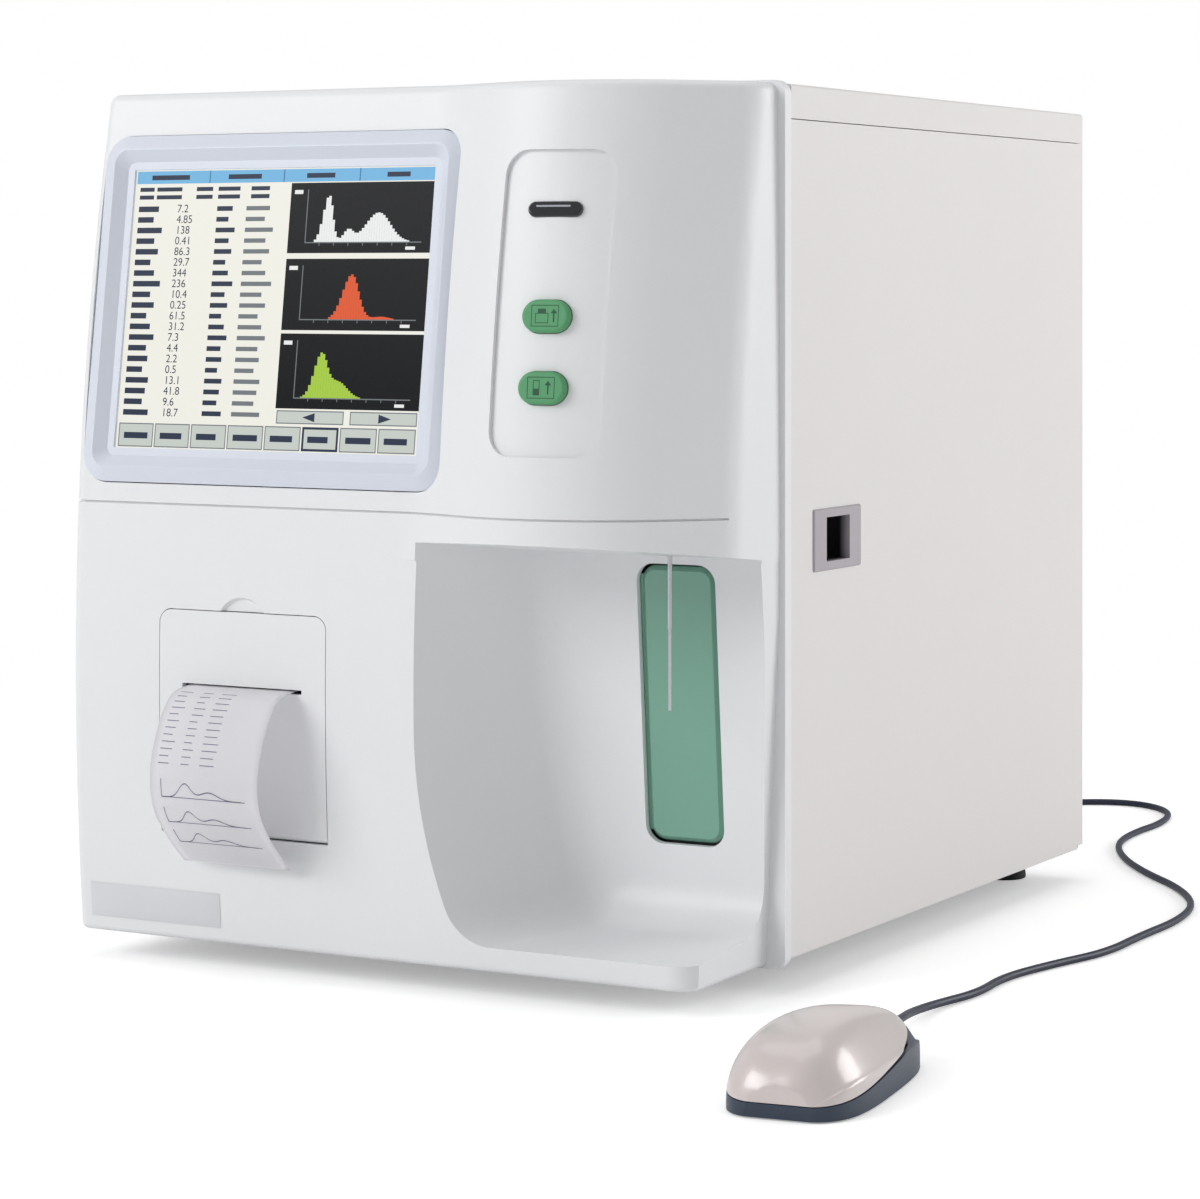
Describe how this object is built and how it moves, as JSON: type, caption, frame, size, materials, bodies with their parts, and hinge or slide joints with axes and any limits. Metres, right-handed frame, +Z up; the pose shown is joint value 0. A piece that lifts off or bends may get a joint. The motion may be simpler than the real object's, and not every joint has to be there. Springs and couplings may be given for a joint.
{
  "type": "hematology analyzer",
  "caption": "Bench-top hematology analyzer: bowed moulded front with screen, two keys, printer door and open sampling bay, folded sheet cabinet with side door, wired mouse.",
  "frame": {"origin": "on the bench, under the centre of the analyzer without its mouse and cord", "axes": "X to the analyzer's right-hand side seen from the front, Y from front to back, Z up"},
  "size_m": [0.4476, 0.8073, 0.3955],
  "materials": {
    "cover_white": "satin moulded plastic",
    "bezel_grey": "satin moulded plastic",
    "screen_glass": "lit screen behind a clear pane",
    "dark_plastic": "matt",
    "zinc_sheet": "zinc-plated sheet",
    "key_green": "soft satin key cap",
    "lamp_dark": "glossy dark lens",
    "board_green": "coated board",
    "paper": "thermal paper",
    "black_rubber": "matt",
    "plate_green": "smooth",
    "polished_steel": "fine ground",
    "clear_acrylic": "clear",
    "motor_steel": "dark satin",
    "cabinet_paint": "fine satin powder coat",
    "pull_grey": "satin moulded plastic",
    "white_plastic": "matt",
    "mouse_pearl": "pearl lacquer",
    "navy_plastic": "satin",
    "cord_navy": "smooth flexible sheath"
  },
  "bodies": {
    "cabinet": {"base_tray": "zinc_sheet", "bath_bracket": "dark_plastic", "bay_plate": "plate_green", "case_screws": "polished_steel", "cord_coil": "cord_navy", "counting_baths": "clear_acrylic", "data_ports": "zinc_sheet", "display_bracket": "zinc_sheet", "display_glass": "screen_glass", "display_module": "dark_plastic", "door_magnets": "motor_steel", "fan_guard": "polished_steel", "fan_housing": "dark_plastic", "feet": "black_rubber", "front_cover": "cover_white", "front_frame": "zinc_sheet", "guide_rods": "polished_steel", "hose_barbs": "clear_acrylic", "key_board": "board_green", "lamp_lens": "lamp_dark", "left_panel": "cabinet_paint", "main_board": "board_green", "mouse_base": "navy_plastic", "mouse_cord": "cord_navy", "mouse_pads": "black_rubber", "mouse_pivot_pin": "polished_steel", "mouse_plug": "cord_navy", "partition": "zinc_sheet", "pivot_pins": "polished_steel", "power_inlet": "dark_plastic", "power_supply": "zinc_sheet", "print_mechanism": "dark_plastic", "printer_tub": "dark_plastic", "probe_frame": "zinc_sheet", "probe_motor": "motor_steel", "rear_panel": "cabinet_paint", "screen_bezel": "bezel_grey", "syringe_barrels": "clear_acrylic", "syringe_frame": "zinc_sheet", "syringe_motor": "motor_steel", "top_lid": "cabinet_paint", "vacuum_pump": "dark_plastic", "valve_manifold": "dark_plastic", "wash_block": "clear_acrylic", "waste_jar": "clear_acrylic"},
    "print_key_body": {"print_key": "key_green"},
    "sample_key_body": {"sample_key": "key_green"},
    "printer_door_body": {"printer_door": "cover_white", "paper_strip": "paper"},
    "platen_body": {"platen_roller": "black_rubber"},
    "roll_body": {"paper_roll": "paper"},
    "probe_body": {"sample_probe": "polished_steel", "probe_carriage": "dark_plastic"},
    "screw_body": {"lead_screw": "polished_steel"},
    "side_door_body": {"side_door": "cabinet_paint", "pull_cup": "pull_grey"},
    "fan_body": {"fan_rotor": "dark_plastic"},
    "rocker_body": {"power_rocker": "dark_plastic"},
    "plunger_body": {"syringe_pistons": "white_plastic"},
    "mouse_top_body": {"mouse_shell": "mouse_pearl"}
  },
  "joints": [
    {"name": "print_key_press", "type": "slide", "parent": "cabinet", "child": "print_key_body", "axis": [-0.1487, 0.9809, -0.1257], "range_m": [0, 0.0015], "stiffness_N_per_m": 800, "springref_m": -0.0005},
    {"name": "sample_key_press", "type": "slide", "parent": "cabinet", "child": "sample_key_body", "axis": [-0.1487, 0.9836, -0.1026], "range_m": [0, 0.0015], "stiffness_N_per_m": 800, "springref_m": -0.0005},
    {"name": "printer_door_hinge", "type": "hinge", "parent": "cabinet", "child": "printer_door_body", "pos_m": [-0.06775, -0.20017, 0.0647], "axis": [1, 0, 0], "range_deg": [0, 85], "deforming": ["paper_strip"]},
    {"name": "platen_spin", "type": "hinge", "parent": "cabinet", "child": "platen_body", "pos_m": [-0.06775, -0.189, 0.1225], "axis": [1, 0, 0], "continuous": true},
    {"name": "roll_spin", "type": "hinge", "parent": "cabinet", "child": "roll_body", "pos_m": [-0.06775, -0.165, 0.085], "axis": [1, 0, 0], "continuous": true},
    {"name": "probe_slide", "type": "slide", "parent": "cabinet", "child": "probe_body", "axis": [0, 0, 1], "range_m": [0, 0.06]},
    {"name": "screw_spin", "type": "hinge", "parent": "cabinet", "child": "screw_body", "pos_m": [0.1255, -0.146, 0.28], "axis": [0, 0, 1], "range_deg": [0, 2700.1]},
    {"name": "side_door_hinge", "type": "hinge", "parent": "cabinet", "child": "side_door_body", "pos_m": [0.1595, 0.216, 0.2], "axis": [0, 0, 1], "range_deg": [0, 100]},
    {"name": "fan_spin", "type": "hinge", "parent": "cabinet", "child": "fan_body", "pos_m": [-0.085, 0.205, 0.3], "axis": [0, 1, 0], "continuous": true},
    {"name": "power_rocker_tilt", "type": "hinge", "parent": "cabinet", "child": "rocker_body", "pos_m": [-0.11, 0.216, 0.081], "axis": [1, 0, 0], "range_deg": [-6, 6]},
    {"name": "plunger_slide", "type": "slide", "parent": "cabinet", "child": "plunger_body", "axis": [0, 0, -1], "range_m": [0, 0.045]},
    {"name": "mouse_click", "type": "hinge", "parent": "cabinet", "child": "mouse_top_body", "pos_m": [0.25861, -0.32166, 0.006], "axis": [-0.9925, -0.1219, 0], "range_deg": [0, 0.8], "stiffness_Nm_per_rad": 6, "springref_deg": -34.38}
  ],
  "couplings": [
    {"joint": "screw_spin", "follows": "probe_slide", "rad_per_m": 785.4},
    {"joint": "roll_spin", "follows": "platen_spin", "ratio": -0.20833}
  ]
}
